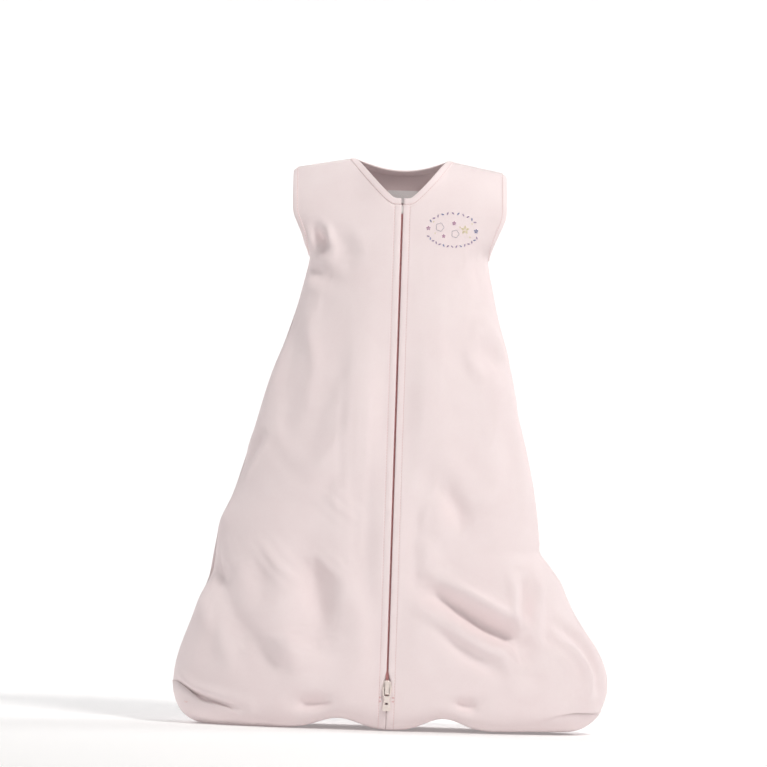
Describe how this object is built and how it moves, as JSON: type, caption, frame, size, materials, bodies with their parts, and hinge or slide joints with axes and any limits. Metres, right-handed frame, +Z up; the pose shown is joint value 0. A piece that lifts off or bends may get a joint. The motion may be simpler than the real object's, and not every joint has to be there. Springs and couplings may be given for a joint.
{
  "type": "baby sleeping bag",
  "caption": "Sleeveless cotton jersey wearable blanket for a baby, pale pink, in its worn shape, with a full-length front zip whose slider is at the foot when closed.",
  "frame": {"origin": "middle of the outline, on the ground", "axes": "+Z up from foot to neck, -Y out of the zipped front, +X towards the wearer's left"},
  "size_m": [0.4556, 0.1763, 0.6014],
  "materials": {
    "jersey": "matte",
    "binding": "matte",
    "zip_tape": "matte",
    "zip_coil": "satin",
    "zip_plastic": "satin",
    "slider_enamel": "gloss",
    "spring_steel": "satin",
    "sewing_thread": "satin",
    "seam_tape": "matte",
    "embroidery_thread": "satin",
    "label_ribbon": "satin"
  },
  "bodies": {
    "bag": {"front_panel_left": "jersey", "front_panel_right": "jersey", "back_panel": "jersey", "foot_panel": "jersey", "placket_left": "jersey", "placket_right": "jersey", "neck_binding": "binding", "armhole_binding_left": "binding", "armhole_binding_right": "binding", "zip_tape_left": "zip_tape", "zip_tape_right": "zip_tape", "zip_coil_left": "zip_coil", "zip_coil_right": "zip_coil", "zip_box": "zip_plastic", "zip_pin": "zip_plastic", "zip_end_stops": "zip_plastic", "side_seam_left": "sewing_thread", "side_seam_right": "sewing_thread", "foot_seam": "sewing_thread", "topstitch_left": "sewing_thread", "topstitch_right": "sewing_thread", "bar_tacks": "sewing_thread", "shoulder_tape_left": "seam_tape", "shoulder_tape_right": "seam_tape", "embroidery": "embroidery_thread", "neck_label": "label_ribbon", "care_label": "label_ribbon"},
    "slider": {"slider_body": "slider_enamel", "slider_cap": "slider_enamel", "lock_spring": "spring_steel"},
    "pull_tab": {"pull_tab": "slider_enamel"}
  },
  "joints": [
    {"name": "slider_travel", "type": "slide", "parent": "bag", "child": "slider", "axis": [0, 0.0624, 0.9981], "range_m": [0, 0.4912]},
    {"name": "pull_tab_swing", "type": "hinge", "parent": "slider", "child": "pull_tab", "pos_m": [0, -0.08449, 0.04598], "axis": [-1, 0, 0], "range_deg": [0, 165]}
  ]
}
